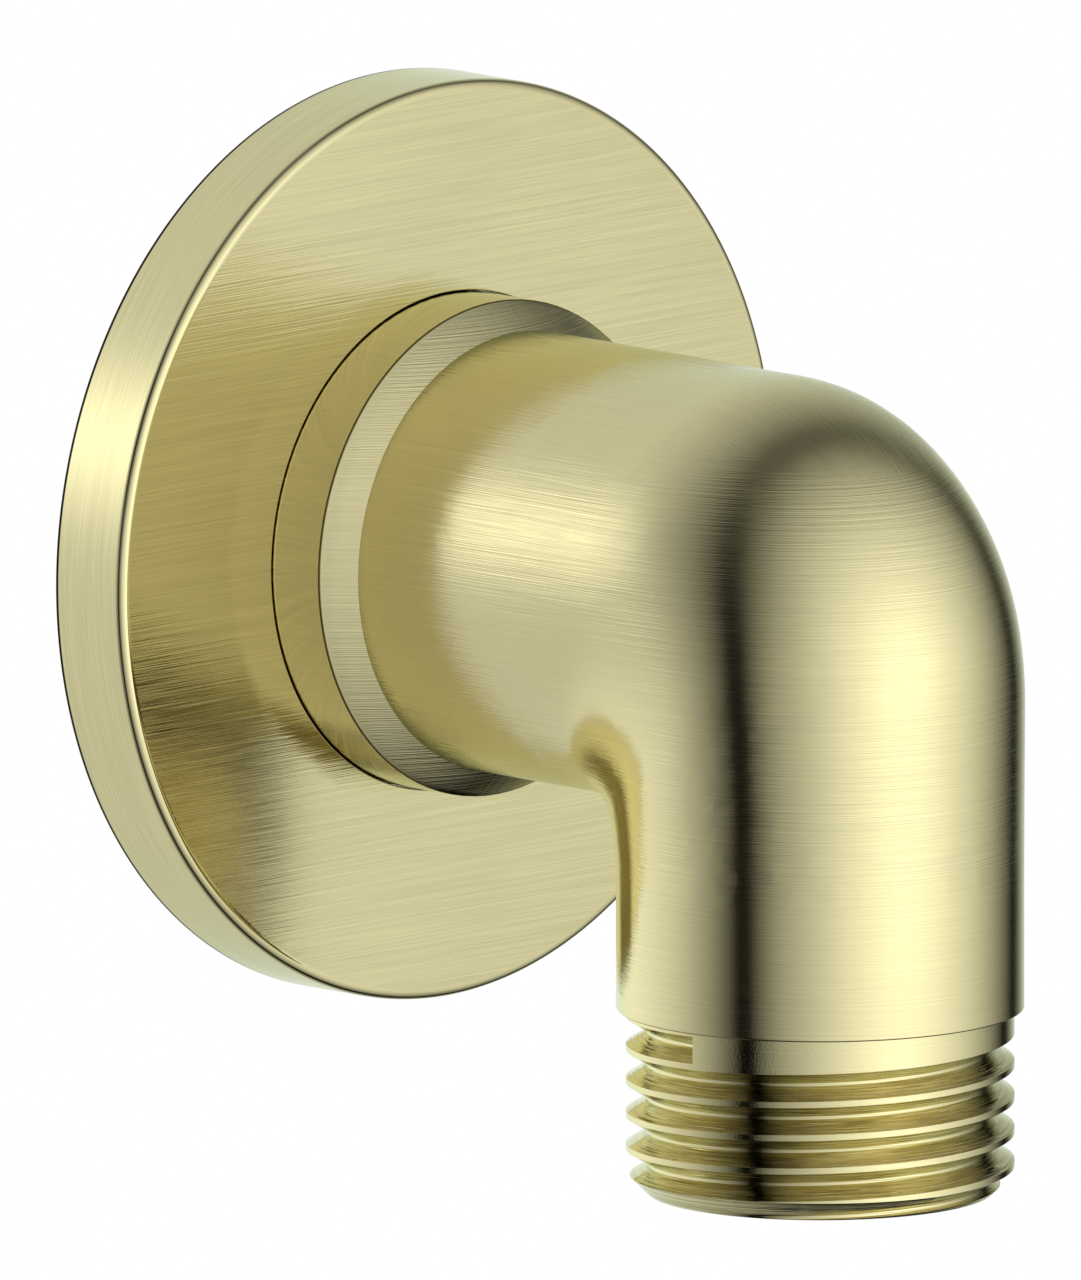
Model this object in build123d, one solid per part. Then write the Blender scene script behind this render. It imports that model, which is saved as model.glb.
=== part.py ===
from build123d import *
from itertools import accumulate
from math import cos, pi, radians, sin
import os

# Wall outlet elbow for a shower hose, in millimetres, +Z up.
# The wall is the plane y = 0. The fitting stands out of it along -Y and its outlet points down.
# Depths are measured from the wall towards the front, so a depth is a negative y.

# Wall flange, a hollow-backed cover plate
flange_diameter = 50.0
flange_thickness = 5.0
flange_edge_radius = 0.5  # front edge
flange_wall = 1.8  # front plate and outer rim
hub_wall = 2.4  # ring round the hole
hub_setback = 0.9  # hub and collar end this far in front of the wall
edge_radius = 0.12  # other turned edges

# Elbow body
collar_diameter = 27.0
collar_projection = 3.5  # plain part of the collar in front of the flange
collar_clearance = 0.06  # radial, between the collar and the flange's hole
arm_diameter = 24.0
spout_diameter = 22.0
outlet_reach = 33.2  # wall to the outlet's axis
spout_drop = 22.0  # arm axis to the shoulder over the outlet thread
bend_radius = 6.75  # of the centreline
crown_length = 15.0  # the skin's outer corner, along the arm
crown_height = 16.5  # and down the spout
inner_corner_radius = 3.0

# Pipe threads, drawn at their major diameter
thread_diameter = 20.955
outlet_thread_length = 10.0
inlet_thread_length = 12.0  # beyond the wall
thread_chamfer = 1.1

# Waterway
waterway_diameter = 14.0
mouth_chamfer = 0.5

# Rubber ring that grips the flange on the collar
ring_cord = 2.0
ring_squeeze = 0.35
ring_clearance = 0.05  # at the groove's floor and at the flange's hole
groove_side_room = 0.2

# Sections of the lofts from the collar over the bend
arm_section_count = 8
bend_section_count = 22
taper_ease = 0.15  # share of the way over which the taper of the width starts and ends

flange_radius = flange_diameter / 2
collar_radius = collar_diameter / 2
arm_radius = arm_diameter / 2
spout_radius = spout_diameter / 2
thread_radius = thread_diameter / 2
waterway_radius = waterway_diameter / 2

flange_hole_radius = collar_radius + collar_clearance
collar_front = flange_thickness + collar_projection
arm_start = collar_front + collar_radius - arm_radius
outlet_end = spout_drop + outlet_thread_length

# The ring keeps its section area when it is squeezed between the groove's floor and the flange's hole.
ring_seat_height = ring_cord - ring_squeeze
ring_height = ring_seat_height - 2 * ring_clearance
ring_width = ring_height + pi / 4 * (ring_cord**2 - ring_height**2) / ring_height
groove_radius = flange_hole_radius - ring_seat_height
groove_width = ring_width + 2 * groove_side_room
groove_depth = (hub_setback + flange_thickness) / 2  # of the groove's middle, half way along the hub

# Side view of the bend, as (y, z). Its sections fan out from a hinge at the centre of the inner corner.
hinge = Vector(-(outlet_reach - spout_radius - inner_corner_radius), -(arm_radius + inner_corner_radius))


def corner_of(face, point):
    """Corner of a flat face that lies nearest to a point."""
    return face.vertices().sort_by_distance((*point, 0))[:1]


def make_flange():
    rim_radius = flange_radius - flange_wall
    hub_radius = flange_hole_radius + hub_wall
    recess_floor = -(flange_thickness - flange_wall)
    section = make_face(
        Polyline(
            (flange_hole_radius, -flange_thickness),
            (flange_radius, -flange_thickness),
            (flange_radius, 0),
            (rim_radius, 0),
            (rim_radius, recess_floor),
            (hub_radius, recess_floor),
            (hub_radius, -hub_setback),
            (flange_hole_radius, -hub_setback),
            close=True,
        )
    )
    section = fillet(corner_of(section, (flange_radius, -flange_thickness)), flange_edge_radius)
    section = fillet(corner_of(section, (flange_hole_radius, -flange_thickness)), edge_radius)
    return revolve(section, Axis.Y)


def make_ring():
    middle = (groove_radius + ring_clearance + ring_height / 2, -groove_depth)
    section = Pos(*middle) * SlotOverall(ring_width, ring_height, rotation=90)
    return revolve(section, Axis.Y)


def make_collar():
    """Inlet spigot and collar, with the ring's groove, as far as the arm."""
    groove_back = -(groove_depth - groove_width / 2)
    groove_front = -(groove_depth + groove_width / 2)
    section = make_face(
        Polyline(
            (0, inlet_thread_length),
            (thread_radius - thread_chamfer, inlet_thread_length),
            (thread_radius, inlet_thread_length - thread_chamfer),
            (thread_radius, -hub_setback),
            (collar_radius, -hub_setback),
            (collar_radius, groove_back),
            (groove_radius, groove_back),
            (groove_radius, groove_front),
            (collar_radius, groove_front),
            (collar_radius, -collar_front),
            (arm_radius, -arm_start),
            (0, -arm_start),
            close=True,
        )
    )
    section = fillet(corner_of(section, (collar_radius, -collar_front)), edge_radius)
    return revolve(section, Axis.Y)


def make_spout():
    """Straight spout below the bend, its shoulder and the outlet thread."""
    section = make_face(
        Polyline(
            (0, hinge.Y),
            (spout_radius, hinge.Y),
            (spout_radius, -spout_drop),
            (thread_radius, -spout_drop),
            (thread_radius, thread_chamfer - outlet_end),
            (thread_radius - thread_chamfer, -outlet_end),
            (0, -outlet_end),
            close=True,
        )
    )
    section = fillet(corner_of(section, (spout_radius, -spout_drop)), edge_radius)
    return Pos(0, -outlet_reach, 0) * revolve(Plane.XZ * section, Axis.Z)


def side_curve(arm_offset, spout_offset, corner_length, corner_height):
    """Line of the bend in side view, outside the axes by the two offsets, with an elliptical corner."""
    front = -outlet_reach - spout_offset
    arc = EllipticalCenterArc(
        (front + corner_length, arm_offset - corner_height),
        corner_length,
        corner_height,
        start_angle=90,
        arc_size=90,
    )
    return (
        Line((0, arm_offset), arc @ 0),
        arc,
        Line(arc @ 1, (front, -outlet_end)),
    )


def distance_from_hinge(curve, direction):
    ray = Line(hinge, hinge + direction * (outlet_reach + outlet_end))
    return max((point - hinge).length for edge in curve for point in edge.find_intersection_points(ray))


def arm_stations():
    """Middle, outward direction, outer and inner half height of the sections across the straight arm."""
    length = -hinge.X - arm_start
    for index in range(arm_section_count):
        depth = arm_start + length * index / arm_section_count
        yield Vector(-depth, 0), Vector(0, 1), arm_radius, arm_radius


def bend_stations():
    """The same for the sections that fan out round the bend."""
    centreline = side_curve(0, 0, bend_radius, bend_radius)
    skin = side_curve(arm_radius, spout_radius, crown_length, crown_height)
    for index in range(bend_section_count):
        angle = radians(90 * index / (bend_section_count - 1))
        direction = Vector(-sin(angle), cos(angle))
        centre = distance_from_hinge(centreline, direction)
        outer = distance_from_hinge(skin, direction) - centre
        yield hinge + direction * centre, direction, outer, centre - inner_corner_radius


def taper(share):
    """Straight taper from 0 to 1 with eased ends."""
    after_start = max(share - taper_ease, 0)
    near_end = max(share - 1 + taper_ease, 0)
    return (share**2 - after_start**2 - near_end**2) / (2 * taper_ease * (1 - taper_ease))


def make_arm_and_bend():
    """Lofts of egg-shaped sections: the inner corner stays an arc while the width tapers from collar to spout."""
    stations = [*arm_stations(), *bend_stations()]
    steps = [(after[0] - before[0]).length for before, after in zip(stations, stations[1:])]
    travelled = [0, *accumulate(steps)]
    sections = []
    for (middle, direction, outer, inner), distance in zip(stations, travelled):
        half_width = arm_radius + (spout_radius - arm_radius) * taper(distance / travelled[-1])
        outline = [
            EllipticalCenterArc((0, 0), half_width, outer, start_angle=0, arc_size=180),
            EllipticalCenterArc((0, 0), half_width, inner, start_angle=180, arc_size=180),
        ]
        plane = Plane((0, middle.X, middle.Y), x_dir=(1, 0, 0), z_dir=(0, -direction.Y, direction.X))
        sections.append(plane * make_face(outline))
    return loft(sections[: arm_section_count + 1]) + loft(sections[arm_section_count:])


def make_drill(length):
    """Ball-nosed bore with its nose at the origin and a chamfered mouth above it."""
    nose = CenterArc((0, 0), waterway_radius, -90, 90)
    wall = Polyline(
        nose @ 1,
        (waterway_radius, length - mouth_chamfer),
        (waterway_radius + mouth_chamfer, length),
        (0, length),
        nose @ 0,
    )
    return revolve(Plane.XZ * make_face([nose, wall]), Axis.Z)


def make_elbow():
    corner = Pos(0, -outlet_reach, 0)
    inlet_bore = corner * Rot(X=-90) * make_drill(outlet_reach + inlet_thread_length)
    outlet_bore = corner * Rot(X=180) * make_drill(outlet_end)
    return make_collar() + make_arm_and_bend() + make_spout() - inlet_bore - outlet_bore


pieces = {
    "elbow_body": make_elbow(),
    "wall_flange": make_flange(),
    "flange_o_ring": make_ring(),
}

os.makedirs("parts", exist_ok=True)
for name, piece in pieces.items():
    export_step(piece, f"parts/{name}.step")
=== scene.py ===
import bpy
import math
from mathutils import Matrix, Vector


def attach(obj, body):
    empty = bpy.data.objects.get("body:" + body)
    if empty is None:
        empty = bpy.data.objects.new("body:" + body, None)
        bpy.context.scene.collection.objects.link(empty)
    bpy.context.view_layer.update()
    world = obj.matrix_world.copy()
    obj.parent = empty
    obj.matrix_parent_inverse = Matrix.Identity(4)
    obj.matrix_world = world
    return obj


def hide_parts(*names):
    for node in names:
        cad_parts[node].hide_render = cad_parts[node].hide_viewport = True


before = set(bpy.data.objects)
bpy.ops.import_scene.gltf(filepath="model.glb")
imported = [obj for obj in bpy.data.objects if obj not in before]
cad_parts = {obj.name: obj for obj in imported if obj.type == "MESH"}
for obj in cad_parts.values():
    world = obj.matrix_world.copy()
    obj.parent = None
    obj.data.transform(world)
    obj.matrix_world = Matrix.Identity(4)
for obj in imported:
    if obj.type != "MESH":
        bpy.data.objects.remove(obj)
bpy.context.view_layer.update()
mm = 0.001
mergeDistance = 1.0e-6    # metres, points closer than this become one
nodeSpacing = (220, 180)  # columns and rows in the node editor
print("frame loaded:", ", ".join(sorted(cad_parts)))


def deselectAll():
    if bpy.context.object and bpy.context.object.mode != "OBJECT":
        bpy.ops.object.mode_set(mode="OBJECT")
    bpy.ops.object.select_all(action="DESELECT")


def makeActive(piece):
    deselectAll()
    piece.select_set(True)
    bpy.context.view_layer.objects.active = piece


def applyModifiers(piece):
    makeActive(piece)
    for modifier in list(piece.modifiers):
        bpy.ops.object.modifier_apply(modifier=modifier.name)


def mergeDoubles(piece):
    makeActive(piece)
    bpy.ops.object.mode_set(mode="EDIT")
    bpy.ops.mesh.select_all(action="SELECT")
    bpy.ops.mesh.remove_doubles(threshold=mergeDistance)
    bpy.ops.object.mode_set(mode="OBJECT")


# nodes are placed in columns and rows, so the tree can be read in the editor
def placeNode(node, column, row):
    node.location = (column * nodeSpacing[0], -row * nodeSpacing[1])


def addNode(tree, kind, column, row, **settings):
    node = tree.nodes.new(kind)
    placeNode(node, column, row)
    for key, value in settings.items():
        setattr(node, key, value)
    return node


# a socket is linked, a plain value is set
def feed(tree, socket, value):
    if isinstance(value, bpy.types.NodeSocket):
        tree.links.new(value, socket)
    else:
        socket.default_value = value


def mathNode(tree, operation, first, second, column, row, third=None):
    node = addNode(tree, "ShaderNodeMath", column, row, operation=operation)
    for socket, value in zip(node.inputs, (first, second, third)):
        if value is not None:
            feed(tree, socket, value)
    return node.outputs[0]


def product(tree, first, second, column, row):
    return mathNode(tree, "MULTIPLY", first, second, column, row)


def radiusNode(tree, first, second, column, row):
    square = product(tree, second, second, column, row)
    total = mathNode(tree, "MULTIPLY_ADD", first, first, column + 1, row, square)
    return mathNode(tree, "SQRT", total, None, column + 2, row)


def splitAxes(tree, vector, column, row):
    node = addNode(tree, "ShaderNodeSeparateXYZ", column, row)
    tree.links.new(vector, node.inputs[0])
    return tuple(node.outputs)


def fadeNode(tree, value, span, column, row, result=(0.0, 1.0), interpolation="SMOOTHSTEP"):
    node = addNode(tree, "ShaderNodeMapRange", column, row, interpolation_type=interpolation)
    tree.links.new(value, node.inputs["Value"])
    for name, level in zip(("From Min", "From Max", "To Min", "To Max"), (*span, *result)):
        node.inputs[name].default_value = level
    return node.outputs["Result"]


def mixFloat(tree, factor, first, second, column, row):
    node = addNode(tree, "ShaderNodeMix", column, row, data_type="FLOAT")
    for name, value in (("Factor", factor), ("A", first), ("B", second)):
        feed(tree, node.inputs[name], value)
    return node.outputs["Result"]


def mixColour(tree, factor, first, second, column, row):
    node = addNode(tree, "ShaderNodeMix", column, row, data_type="RGBA")
    for place, value in ((0, factor), (6, first), (7, second)):  # 6 and 7 are the colour sockets
        feed(tree, node.inputs[place], value)
    return node.outputs[2]


def strokeNoise(tree, coords, stretch, column, row, detail=1.0, roughness=0.6, seed=(0, 0, 0)):
    mapping = addNode(tree, "ShaderNodeMapping", column, row)
    mapping.inputs["Scale"].default_value = stretch
    mapping.inputs["Location"].default_value = seed
    tree.links.new(coords, mapping.inputs["Vector"])
    noise = addNode(tree, "ShaderNodeTexNoise", column + 1, row)
    noise.inputs["Scale"].default_value = 1.0
    noise.inputs["Detail"].default_value = detail
    noise.inputs["Roughness"].default_value = roughness
    tree.links.new(mapping.outputs["Vector"], noise.inputs["Vector"])
    return noise.outputs["Fac"]


def addBump(tree, shader, height, distance, strength):
    bump = addNode(tree, "ShaderNodeBump", 8, 4)
    for name, value in (("Height", height), ("Distance", distance), ("Strength", strength)):
        feed(tree, bump.inputs[name], value)
    tree.links.new(bump.outputs["Normal"], shader.inputs["Normal"])


def newMaterial(name):
    material = bpy.data.materials.new(name)
    material.use_nodes = True
    tree = material.node_tree
    shader = tree.nodes["Principled BSDF"]
    placeNode(shader, 12, 0)
    placeNode(tree.nodes["Material Output"], 14, 0)
    coords = addNode(tree, "ShaderNodeTexCoord", -3, 1)
    return material, tree, shader, coords


# brushed pale gold, shared by the elbow and the flange
brass = {
    "edgeTint": (0.94, 1.0, 0.90, 1),
    "fine": 14500.0,             # strokes across, per metre
    "long": 110.0,               # strokes along, per metre
    "bump": 1.0e-4,              # metres, at a depth of 1
    "patches": 70.0,             # soft patches, per metre
    "patchShare": 0.3,
    "toneSpan": (0.35, 0.95),    # strokes with patches, from the deep tone to the light one
    "strokeSpan": (0.25, 0.75),  # strokes, from the smooth ones to the rough ones
    "roughness": (0.12, 0.15),
}


# strokes, their depth and the polish go into the shader, and the colour is given back
def finishBrass(tree, shader, coords, strokes, depth, polish, tones):
    shader.inputs["Metallic"].default_value = 1.0
    shader.inputs["Specular Tint"].default_value = brass["edgeTint"]
    rough = fadeNode(tree, strokes, brass["strokeSpan"], 7, 2, brass["roughness"])
    tree.links.new(product(tree, rough, polish, 8, 2), shader.inputs["Roughness"])
    addBump(tree, shader, strokes, brass["bump"], depth)
    patches = strokeNoise(tree, coords, (brass["patches"],) * 3, 3, 4, detail=2.0)
    tone = mathNode(tree, "MULTIPLY_ADD", patches, brass["patchShare"], 5, 3, strokes)
    share = fadeNode(tree, tone, brass["toneSpan"], 6, 3, interpolation="LINEAR")
    return mixColour(tree, share, *tones, 7, 0)


# elbow: lines run along the arm and over the bend, then round the spout
elbow = {
    "outletAxis": -33.2 * mm,                  # y of the outlet's axis
    "smoothAngle": 15.0,                       # degrees
    "top": (0.60, 0.80),                       # upward facing, where the lines run along the arm
    "spout": (-16.0 * mm, -13.0 * mm),
    "chamfer": (-10.3 * mm, -9.9 * mm),
    "chamferFoot": (11.7 * mm, 11.9 * mm),     # radius
    "collar": (13.2 * mm, 13.4 * mm),          # radius
    "collarEdgeShade": (13.42 * mm, 13.45 * mm),    # radius, painted shade line round the chamfer
    "collarFront": (-8.42 * mm, -8.45 * mm),
    "shoulder": (-21.90 * mm, -21.95 * mm),    # painted shadow line under the spout
    "shoulderFoot": (10.6 * mm, 10.7 * mm),    # radius
    "thread": (-22.0 * mm, -22.1 * mm),
    "crest": (10.38 * mm, 10.42 * mm),         # radius
    "lipShade": (10.24 * mm, 10.32 * mm),           # radius, painted shade line under each crest
    "root": (9.38 * mm, 9.44 * mm),            # radius
    "underside": (-0.2, -0.5),                 # downward facing flanks
    "grain": 10000.0,                          # of the crests, per metre
    "grainShare": 0.4,                         # the rest are the lines round the spout
    "turned": 5500.0,                          # circles on the flanks, per metre
    "markSpan": (0.46, 0.58),                  # circles, from bare to marked
    "markShare": 0.22,                         # strength of the marks
    "undersideShade": 0.45,                    # and the painted shade added on the undersides
    # colour of the tool marks and of the painted shade lines
    "markAndShadeColour": (0.20, 0.155, 0.06, 1),
    "tones": ((0.63, 0.557, 0.332, 1), (0.70, 0.622, 0.375, 1)),  # deep and light strokes
    "bodyDepth": 0.26,
    "chamferDepth": 0.32,
    "collarDepth": 0.02,
    "spoutDepth": 0.11,
    "flankDepth": 0.6,
    "crestDepth": 0.13,
    "threadPolish": 0.5,                       # times the roughness
}


# masks from 0 to 1 for the places on the elbow, with the height and radius that the thread uses
def elbowPlaces(tree, coords, normal):
    x, y, z = splitAxes(tree, coords, -2, 6)
    upward = splitAxes(tree, normal, -2, 5)[2]
    fromOutlet = mathNode(tree, "SUBTRACT", y, elbow["outletAxis"], -1, 10)
    outletRadius = radiusNode(tree, x, fromOutlet, 0, 10)
    armRadius = radiusNode(tree, x, z, 0, 8)
    steep = fadeNode(tree, mathNode(tree, "ABSOLUTE", upward, None, -1, 5), elbow["top"], 0, 5)
    body = fadeNode(tree, z, elbow["spout"], 0, 6)
    back = fadeNode(tree, y, elbow["chamfer"], 0, 7)
    underside = fadeNode(tree, upward, elbow["underside"], 3, 14)
    onThread = fadeNode(tree, z, elbow["thread"], 3, 9)
    onCrest = fadeNode(tree, outletRadius, elbow["crest"], 3, 11)
    offRoot = fadeNode(tree, outletRadius, elbow["root"], 3, 13)
    flank = mathNode(tree, "SUBTRACT", offRoot, onCrest, 4, 13)
    collarEdgeShade = product(tree, fadeNode(tree, armRadius, elbow["collarEdgeShade"], 3, 18), back, 4, 18)
    shoulderFoot = fadeNode(tree, outletRadius, elbow["shoulderFoot"], 3, 15)
    return {
        "height": z,
        "outletRadius": outletRadius,
        "top": product(tree, steep, body, 1, 5),
        "chamfer": product(tree, fadeNode(tree, armRadius, elbow["chamferFoot"], 3, 7), back, 4, 7),
        "collar": product(tree, fadeNode(tree, armRadius, elbow["collar"], 3, 8), back, 4, 8),
        "collarEdgeShade": product(tree, fadeNode(tree, y, elbow["collarFront"], 4, 19), collarEdgeShade, 5, 18),
        # painted shadow line under the spout
        "shoulder": product(tree, fadeNode(tree, z, elbow["shoulder"], 3, 16), shoulderFoot, 4, 15),
        "thread": onThread,
        "crest": onCrest,
        "flank": product(tree, flank, onThread, 5, 13),
        "underside": underside,
        "lipShade": product(tree, fadeNode(tree, outletRadius, elbow["lipShade"], 3, 17), underside, 4, 17),
    }


# circles that the cutting tool leaves round the outlet
def turnedCircles(tree, places):
    section = addNode(tree, "ShaderNodeCombineXYZ", 3, 10)
    tree.links.new(places["outletRadius"], section.inputs["X"])
    tree.links.new(places["height"], section.inputs["Z"])
    return strokeNoise(tree, section.outputs[0], (elbow["turned"], 0, elbow["turned"]), 4, 10)


def elbowStrokes(tree, coords, places, circles):
    over = strokeNoise(tree, coords, (brass["fine"], brass["long"], brass["long"]), -1, 1)
    around = strokeNoise(tree, coords, (brass["long"], brass["long"], brass["fine"]), -1, 3)
    plain = mixFloat(tree, places["top"], around, over, 3, 2)
    grain = strokeNoise(tree, coords, (elbow["grain"],) * 3, 4, 12)
    streaks = product(tree, around, 1 - elbow["grainShare"], 5, 11)
    crests = mathNode(tree, "MULTIPLY_ADD", grain, elbow["grainShare"], 6, 12, streaks)
    turned = mixFloat(tree, places["crest"], circles, crests, 6, 10)
    return mixFloat(tree, places["thread"], plain, turned, 7, 10)


def elbowDepth(tree, places):
    depths = (elbow["spoutDepth"], elbow["bodyDepth"])
    depth = fadeNode(tree, places["height"], elbow["spout"], 4, 9, depths)
    depth = mixFloat(tree, places["chamfer"], depth, elbow["chamferDepth"], 5, 8)
    depth = mixFloat(tree, places["collar"], depth, elbow["collarDepth"], 6, 8)
    threadDepth = mixFloat(tree, places["crest"], elbow["flankDepth"], elbow["crestDepth"], 5, 9)
    return mixFloat(tree, places["thread"], depth, threadDepth, 7, 8)


# tool marks on the flanks, with painted shade: the marks stronger on the downward-facing flanks, and
# dark lines under each crest, under the spout and round the collar
def elbowMarksAndShade(tree, places, circles):
    marked = fadeNode(tree, circles, elbow["markSpan"], 6, 13)
    lines = mathNode(tree, "MAXIMUM", marked, places["lipShade"], 7, 13)
    added = product(tree, places["underside"], elbow["undersideShade"], 6, 14)
    share = mathNode(tree, "ADD", added, elbow["markShare"], 7, 14)
    marks = product(tree, product(tree, lines, share, 8, 13), places["flank"], 9, 13)
    edges = mathNode(tree, "MAXIMUM", places["shoulder"], places["collarEdgeShade"], 8, 15)
    return mathNode(tree, "MAXIMUM", marks, edges, 9, 14)


def elbowMaterial():
    material, tree, shader, coords = newMaterial("brushedBrass")
    place = coords.outputs["Object"]
    places = elbowPlaces(tree, place, coords.outputs["Normal"])
    circles = turnedCircles(tree, places)
    strokes = elbowStrokes(tree, place, places, circles)
    depth = elbowDepth(tree, places)
    polish = mixFloat(tree, places["thread"], 1.0, elbow["threadPolish"], 6, 9)
    colour = finishBrass(tree, shader, place, strokes, depth, polish, elbow["tones"])
    # the tool marks and the painted shade darken the colour
    dark = mixColour(tree, elbowMarksAndShade(tree, places, circles), colour, elbow["markAndShadeColour"], 10, 0)
    tree.links.new(dark, shader.inputs["Base Color"])
    return material


# G 1/2 threads, cut into a copy of the solid as a tool would
thread = {
    "crestRadius": 10.4775 * mm,
    "rootRadius": 9.36 * mm,
    "pitch": 1.814 * mm,
    "crestFlat": 0.32 * mm,
    "rootFlat": 0.16 * mm,
    "over": 0.2 * mm,           # how far the cutter stands out past the crests
    "steps": 120,
    "turns": 6,
    "outletEnd": -22.97 * mm,   # z where the groove's middle runs out
    "outletAngle": 184.0,       # degrees, where the groove runs out
    "outletTop": -22.02 * mm,   # z of the shoulder
    "inletTop": -0.85 * mm,     # y of the collar's back
    "inletEnd": 0.6 * mm,       # y where the inlet groove runs out
    "inletAngle": 60.0,
    "crestBand": 0.03 * mm,     # faces this near the crests
    "crestFacing": 0.98,        # that point outwards are crests
}


def threadCutter(name):
    # groove section beside the z axis, its open side well outside the crests
    half = (thread["pitch"] - thread["crestFlat"]) / 2
    slope = (half - thread["rootFlat"] / 2) / (thread["crestRadius"] - thread["rootRadius"])
    outside = thread["crestRadius"] + thread["over"]
    wide = half + slope * thread["over"]
    corners = (
        (thread["rootRadius"], -thread["rootFlat"] / 2),
        (outside, -wide),
        (thread["rootRadius"], thread["rootFlat"] / 2),
        (outside, wide),
    )
    deselectAll()
    bpy.ops.mesh.primitive_plane_add(size=1, location=(0, 0, 0))
    cutter = bpy.context.object
    cutter.name = name
    for vertex, (radius, height) in zip(cutter.data.vertices, corners):
        vertex.co = (radius, 0, height - thread["turns"] * thread["pitch"])
    bpy.ops.object.mode_set(mode="EDIT")
    bpy.ops.mesh.select_all(action="SELECT")
    bpy.ops.mesh.delete(type="ONLY_FACE")
    bpy.ops.object.mode_set(mode="OBJECT")
    screw = cutter.modifiers.new("turns", "SCREW")
    screw.axis = "Z"
    screw.angle = math.radians(360)
    screw.screw_offset = thread["pitch"]
    screw.iterations = thread["turns"]
    screw.steps = thread["steps"]
    screw.render_steps = thread["steps"]
    applyModifiers(cutter)
    bpy.ops.object.mode_set(mode="EDIT")
    bpy.ops.mesh.select_all(action="SELECT")
    bpy.ops.mesh.fill_holes(sides=4)
    bpy.ops.mesh.normals_make_consistent(inside=False)
    bpy.ops.object.mode_set(mode="OBJECT")
    return cutter


def cutThread(piece, cutter):
    makeActive(cutter)
    bpy.ops.object.transform_apply(location=True, rotation=True, scale=True)
    cut = piece.modifiers.new("thread", "BOOLEAN")
    cut.operation = "DIFFERENCE"
    cut.solver = "EXACT"
    cut.object = cutter
    applyModifiers(piece)
    bpy.data.objects.remove(cutter)


def fromAxis(point, onOutlet):
    if onOutlet:
        return Vector((point.x, point.y - elbow["outletAxis"], 0))
    return Vector((point.x, 0, point.z))


# the cut leaves thin strips on the crests, so these get the normals of the round bar
def roundCrests(piece):
    mesh = piece.data
    normals = [(0.0, 0.0, 0.0)] * len(mesh.loops)
    for face in mesh.polygons:
        onOutlet = face.center.z < thread["outletTop"]
        onInlet = face.center.y > thread["inletTop"]
        if not (onOutlet or onInlet):
            continue
        away = fromAxis(face.center, onOutlet)
        nearCrest = away.length > thread["crestRadius"] - thread["crestBand"]
        if nearCrest and face.normal.dot(away.normalized()) > thread["crestFacing"]:
            for corner in face.loop_indices:
                vertex = mesh.vertices[mesh.loops[corner].vertex_index]
                normals[corner] = tuple(fromAxis(vertex.co, onOutlet).normalized())
    mesh.normals_split_custom_set(normals)


def makeElbow():
    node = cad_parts["elbow_body"]
    piece = bpy.data.objects.new("elbowBody", node.data.copy())
    bpy.context.scene.collection.objects.link(piece)
    mergeDoubles(piece)
    bpy.ops.mesh.customdata_custom_splitnormals_clear()

    outlet = threadCutter("outletCutter")
    outlet.rotation_euler = (0, 0, math.radians(thread["outletAngle"]))
    outlet.location = (0, elbow["outletAxis"], thread["outletEnd"])
    cutThread(piece, outlet)
    inlet = threadCutter("inletCutter")
    inlet.rotation_euler = (math.radians(90), math.radians(thread["inletAngle"]), 0)
    inlet.location = (0, thread["inletEnd"], 0)
    cutThread(piece, inlet)

    mergeDoubles(piece)
    bpy.ops.object.shade_smooth_by_angle(angle=math.radians(elbow["smoothAngle"]))
    roundCrests(piece)
    piece.data.materials.clear()
    piece.data.materials.append(elbowMaterial())
    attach(piece, "root")
    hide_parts("elbow_body")
    print("elbow:", len(piece.data.polygons), "faces")


makeElbow()

# flange: turned from its section, straight lines across the face, lines round the rim
flange = {
    "radius": 25.0 * mm,
    "holeRadius": 13.56 * mm,
    "thickness": 5.0 * mm,
    "wall": 1.8 * mm,
    "hubWall": 2.4 * mm,
    "hubSetback": 0.9 * mm,
    "edgeRadius": 0.5 * mm,
    "holeEdge": 0.08 * mm,
    "edgeSteps": 12,
    "margin": 0.03 * mm,                   # strip that keeps a flat from shading into a rounded edge
    "steps": 384,
    "smoothAngle": 30.0,                   # degrees
    "rim": (24.35 * mm, 24.5 * mm),        # radius
    "edge": (-4.4 * mm, -4.6 * mm),        # polished front edge
    "edgePolish": 0.2,                     # times the roughness
    "wallShadowLine": (-0.20 * mm, -0.15 * mm),  # painted shadow line against the wall
    "wallEdge": (24.88 * mm, 24.94 * mm),  # radius
    # colour of the painted shadow line against the wall
    "wallShadowColour": (0.012, 0.011, 0.008, 1),
    "tones": ((0.573, 0.507, 0.302, 1), (0.724, 0.643, 0.388, 1)),  # deep and light strokes
    "seed": (3.1, 0, 7.7),                 # moves the strokes of the face
    "faceDepth": 0.15,
    "rimDepth": 0.056,
}


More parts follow.
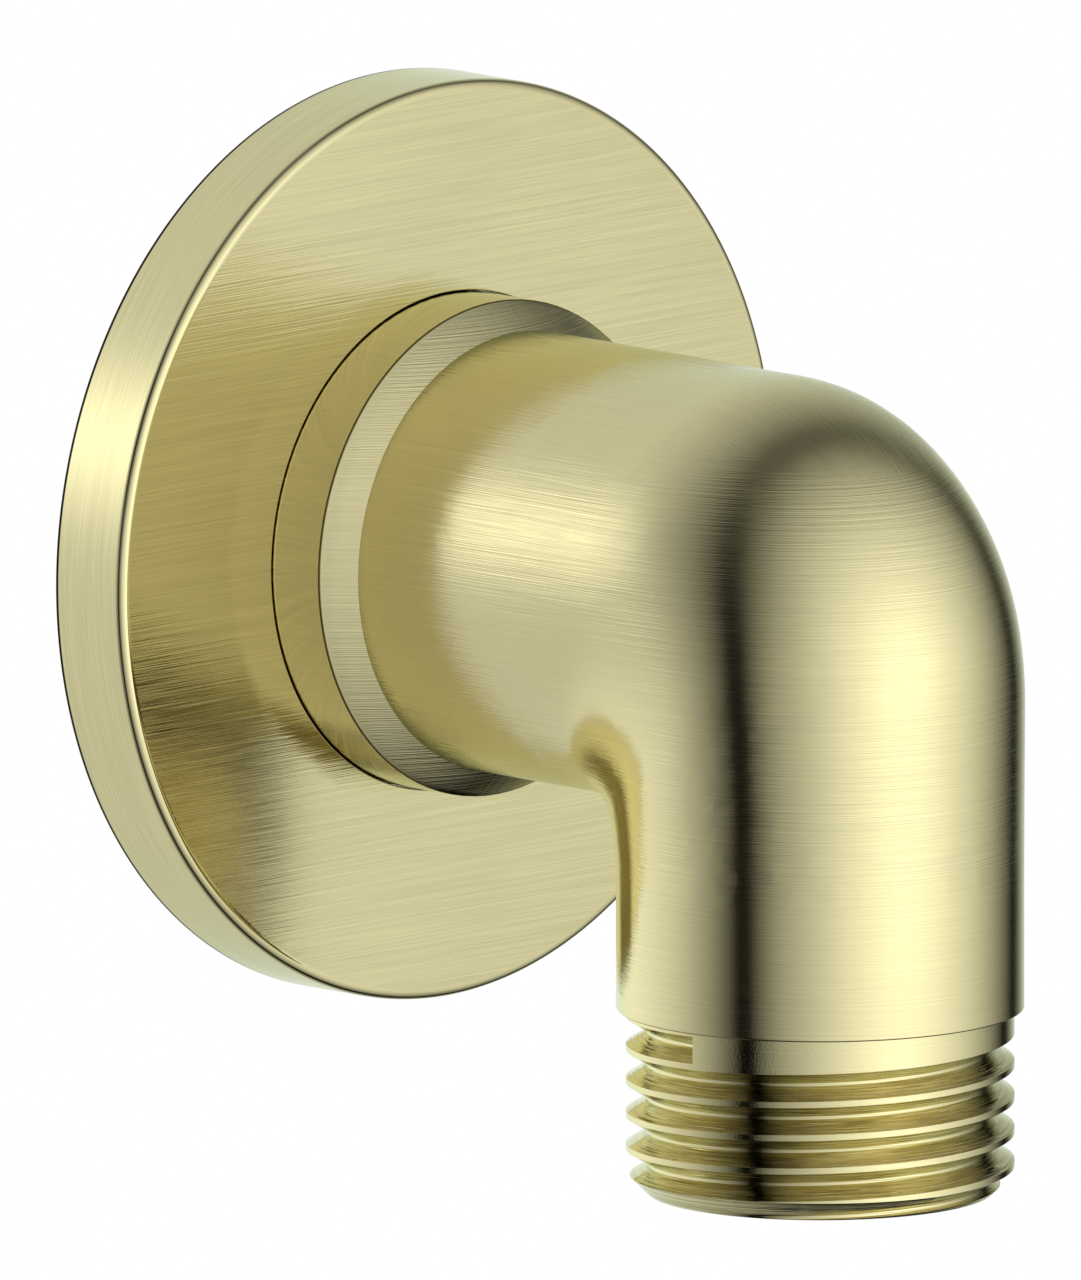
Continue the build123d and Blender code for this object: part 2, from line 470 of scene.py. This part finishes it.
def flangeMaterial():
    material, tree, shader, coords = newMaterial("flangeBrass")
    place = coords.outputs["Object"]
    across = (brass["long"], brass["long"], brass["fine"])
    face = strokeNoise(tree, place, across, -1, 1, seed=flange["seed"])
    rim = strokeNoise(tree, place, (brass["long"], brass["fine"], brass["long"]), -1, 3)
    x, y, z = splitAxes(tree, place, -1, 6)
    radius = radiusNode(tree, x, z, 0, 6)
    onRim = fadeNode(tree, radius, flange["rim"], 3, 6)
    strokes = mixFloat(tree, onRim, face, rim, 4, 2)
    depth = fadeNode(tree, radius, flange["rim"], 5, 6, (flange["faceDepth"], flange["rimDepth"]))
    edge = product(tree, onRim, fadeNode(tree, y, flange["edge"], 3, 7), 4, 7)
    polish = mixFloat(tree, edge, 1.0, flange["edgePolish"], 5, 7)
    colour = finishBrass(tree, shader, place, strokes, depth, polish, flange["tones"])
    # painted shadow line on the rim where it meets the wall
    outside = fadeNode(tree, radius, flange["wallEdge"], 3, 9)
    wallShadowLine = product(tree, outside, fadeNode(tree, y, flange["wallShadowLine"], 3, 8), 4, 8)
    dark = mixColour(tree, wallShadowLine, colour, flange["wallShadowColour"], 10, 0)
    tree.links.new(dark, shader.inputs["Base Color"])
    return material


def quarterRound(centre, radius, start):
    points = []
    for step in range(flange["edgeSteps"] + 1):
        angle = math.radians(start + 90 * step / flange["edgeSteps"])
        points.append((centre[0] + radius * math.cos(angle), centre[1] + radius * math.sin(angle)))
    return points


# section of the flange, as radius and y
def flangeSection():
    front = -flange["thickness"]
    recess = front + flange["wall"]
    rimInside = flange["radius"] - flange["wall"]
    hubRadius = flange["holeRadius"] + flange["hubWall"]
    holeCentre = (flange["holeRadius"] + flange["holeEdge"], front + flange["holeEdge"])
    edgeCentre = (flange["radius"] - flange["edgeRadius"], front + flange["edgeRadius"])
    return [
        (flange["holeRadius"], holeCentre[1] + flange["margin"]),
        *quarterRound(holeCentre, flange["holeEdge"], 180),
        (holeCentre[0] + flange["margin"], front),
        (edgeCentre[0] - flange["margin"], front),
        *quarterRound(edgeCentre, flange["edgeRadius"], 270),
        (flange["radius"], edgeCentre[1] + flange["margin"]),
        (flange["radius"], 0),
        (rimInside, 0),
        (rimInside, recess),
        (hubRadius, recess),
        (hubRadius, -flange["hubSetback"]),
        (flange["holeRadius"], -flange["hubSetback"]),
    ]


def makeFlange():
    section = flangeSection()
    deselectAll()
    bpy.ops.mesh.primitive_circle_add(vertices=len(section), fill_type="NOTHING", location=(0, 0, 0))
    piece = bpy.context.object
    piece.name = "flangePlate"
    for vertex, (radius, depth) in zip(piece.data.vertices, section):
        vertex.co = (radius, depth, 0)
    turned = piece.modifiers.new("turned", "SCREW")
    turned.axis = "Y"
    turned.steps = flange["steps"]
    turned.render_steps = flange["steps"]
    turned.use_merge_vertices = True
    turned.merge_threshold = mergeDistance
    applyModifiers(piece)
    bpy.ops.object.mode_set(mode="EDIT")
    bpy.ops.mesh.select_all(action="SELECT")
    bpy.ops.mesh.normals_make_consistent(inside=False)
    bpy.ops.object.mode_set(mode="OBJECT")
    bpy.ops.object.shade_smooth_by_angle(angle=math.radians(flange["smoothAngle"]))
    piece.data.materials.append(flangeMaterial())
    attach(piece, "root")
    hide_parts("wall_flange")
    print("flange:", len(piece.data.polygons), "faces")


makeFlange()

# rubber ring in the collar's groove
ring = {
    "colour": (0.022, 0.022, 0.023, 1),
    "worn": (0.045, 0.044, 0.042, 1),
    "grain": 2500.0,          # per metre
    "grainSpan": (0.3, 0.7),  # from the smooth spots to the rough ones
    "roughness": (0.5, 0.7),
    "bump": 2.0e-6,           # metres
}


def ringMaterial():
    material, tree, shader, coords = newMaterial("sealRubber")
    grain = strokeNoise(tree, coords.outputs["Object"], (ring["grain"],) * 3, -1, 1)
    colour = mixColour(tree, grain, ring["colour"], ring["worn"], 2, 0)
    tree.links.new(colour, shader.inputs["Base Color"])
    rough = fadeNode(tree, grain, ring["grainSpan"], 2, 2, ring["roughness"])
    tree.links.new(rough, shader.inputs["Roughness"])
    addBump(tree, shader, grain, ring["bump"], 1.0)
    return material


def dressRing():
    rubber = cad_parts["flange_o_ring"].data
    rubber.materials.clear()
    rubber.materials.append(ringMaterial())
    print("rubber ring dressed")


dressRing()

# camera: parallel view, 45 degrees round to the left and a little above
camera = {
    "target": (5.204 * mm, -6.696 * mm, -5.920 * mm),
    "azimuth": -45.0,          # degrees
    "elevation": 10.10874549,  # degrees
    "distance": 0.4,
    "clip": (0.01, 10.0),
    "imageHeight": 68.935 * mm,
}


# direction at an azimuth round from the front and an elevation, in degrees
def lookAngles(azimuth, elevation):
    azimuth = math.radians(azimuth)
    elevation = math.radians(elevation)
    flat = math.cos(elevation)
    return Vector((math.sin(azimuth) * flat, -math.cos(azimuth) * flat, math.sin(elevation)))


def addCamera():
    toCamera = lookAngles(camera["azimuth"], camera["elevation"])
    data = bpy.data.cameras.new("productCamera")
    data.type = "ORTHO"
    data.ortho_scale = camera["imageHeight"]
    data.clip_start, data.clip_end = camera["clip"]
    view = bpy.data.objects.new("productCamera", data)
    bpy.context.scene.collection.objects.link(view)
    view.location = Vector(camera["target"]) + toCamera * camera["distance"]
    view.rotation_euler = toCamera.to_track_quat("Z", "Y").to_euler()
    bpy.context.scene.camera = view


# stage: white room, a floor well below and a light tent that the metal reflects
stage = {
    "roomColour": (1, 1, 1, 1),
    "roomStrength": 1.0,
    "floorHeight": -0.62,
    "floorSize": 3.0,
    "floorSides": 96,
    "floorColour": (0.93, 0.93, 0.92, 1),
    "floorRoughness": 0.9,
    "tentRadius": 0.60,
    "tentSegments": (96, 48),    # round and up
    "tentCentre": (0, -0.016, -0.004),
    "tentColour": (0.96, 1.0, 0.935, 1),
    "tentAxis": 4.3,             # degrees round, the bright ends are in front and behind
    "tentFront": (1.42, 0.035),  # level, and half width of the dark band at the sides
    "tentBack": (1.34, 0.08),
    # azimuth, elevation, strength and tightness of the lamps behind the cloth, negative ones are shades
    "lamps": (
        (0, 90, 0.13, 2),
        (8, 6, 0.32, 9),
        (-4, -2, 0.21, 8),
        (4, 28, -0.06, 18),
        (-38, 18, 0.05, 25),
        (-67, -2, 0.10, 36),
        (-137, 17, 0.94, 42),
        (-130, 18, 0.085, 14),
        (-178, -14, 0.09, 14),
        (165, 40, -0.05, 12),
        (133, -9, 0.14, 30),
        (118, 40, 0.06, 4),
        (118, -14, 0.10, 25),
        (95, 15, 0.09, 6),
        (76, -6, -0.12, 16),
    ),
}


def addRoom():
    world = bpy.data.worlds.new("whiteRoom")
    bpy.context.scene.world = world
    world.use_nodes = True
    background = world.node_tree.nodes["Background"]
    background.inputs["Color"].default_value = stage["roomColour"]
    background.inputs["Strength"].default_value = stage["roomStrength"]
    world.cycles.sampling_method = "NONE"


def addFloor():
    deselectAll()
    bpy.ops.mesh.primitive_circle_add(vertices=stage["floorSides"], radius=stage["floorSize"] / 2,
                                      fill_type="NGON", location=(0, 0, stage["floorHeight"]))
    floor = bpy.context.object
    floor.name = "floor"
    material = bpy.data.materials.new("paleFloor")
    material.use_nodes = True
    shader = material.node_tree.nodes["Principled BSDF"]
    shader.inputs["Base Color"].default_value = stage["floorColour"]
    shader.inputs["Roughness"].default_value = stage["floorRoughness"]
    floor.data.materials.append(material)
    return floor


# cosine towards a point of the tent, less the dark part, and nothing beyond
def tentLobe(tree, direction, towards, dark, row):
    cosine = addNode(tree, "ShaderNodeVectorMath", 2, row, operation="DOT_PRODUCT")
    tree.links.new(direction, cosine.inputs[0])
    cosine.inputs[1].default_value = towards
    rest = mathNode(tree, "SUBTRACT", cosine.outputs["Value"], dark, 3, row)
    return mathNode(tree, "MAXIMUM", rest, 0.0, 4, row)


def tentMaterial():
    material = bpy.data.materials.new("tentLight")
    material.use_nodes = True
    material.cycles.emission_sampling = "NONE"
    tree = material.node_tree
    tree.nodes.remove(tree.nodes["Principled BSDF"])
    coords = addNode(tree, "ShaderNodeTexCoord", 0, 0)
    unit = addNode(tree, "ShaderNodeVectorMath", 1, 0, operation="NORMALIZE")
    tree.links.new(coords.outputs["Object"], unit.inputs[0])
    direction = unit.outputs[0]
    light = 0.0
    for row, (turn, (level, dark)) in enumerate(((0, stage["tentFront"]), (180, stage["tentBack"])), -2):
        lobe = tentLobe(tree, direction, lookAngles(stage["tentAxis"] + turn, 0), dark, row)
        light = mathNode(tree, "MULTIPLY_ADD", lobe, level, 8 + row, row, light)
    for row, (azimuth, elevation, strength, tightness) in enumerate(stage["lamps"]):
        lobe = tentLobe(tree, direction, lookAngles(azimuth, elevation), 0.0, row)
        spot = mathNode(tree, "POWER", lobe, tightness, 5, row)
        light = mathNode(tree, "MULTIPLY_ADD", spot, strength, 8 + row, row, light)
    glow = addNode(tree, "ShaderNodeEmission", 24, 0)
    glow.inputs["Color"].default_value = stage["tentColour"]
    tree.links.new(light, glow.inputs["Strength"])
    output = tree.nodes["Material Output"]
    placeNode(output, 25, 0)
    tree.links.new(glow.outputs[0], output.inputs["Surface"])
    return material


def addTent():
    segments, rings = stage["tentSegments"]
    deselectAll()
    bpy.ops.mesh.primitive_uv_sphere_add(segments=segments, ring_count=rings, radius=stage["tentRadius"])
    tent = bpy.context.object
    tent.name = "lightTent"
    bpy.ops.object.shade_smooth()
    tent.location = stage["tentCentre"]
    tent.data.materials.append(tentMaterial())
    tent.visible_camera = False
    tent.visible_diffuse = False
    tent.visible_shadow = False
    return tent


def addStage():
    addRoom()
    floor = addFloor()
    tent = addTent()


addCamera()
addStage()
print("camera and stage set")

bpy.context.scene.view_settings.view_transform = "Standard"
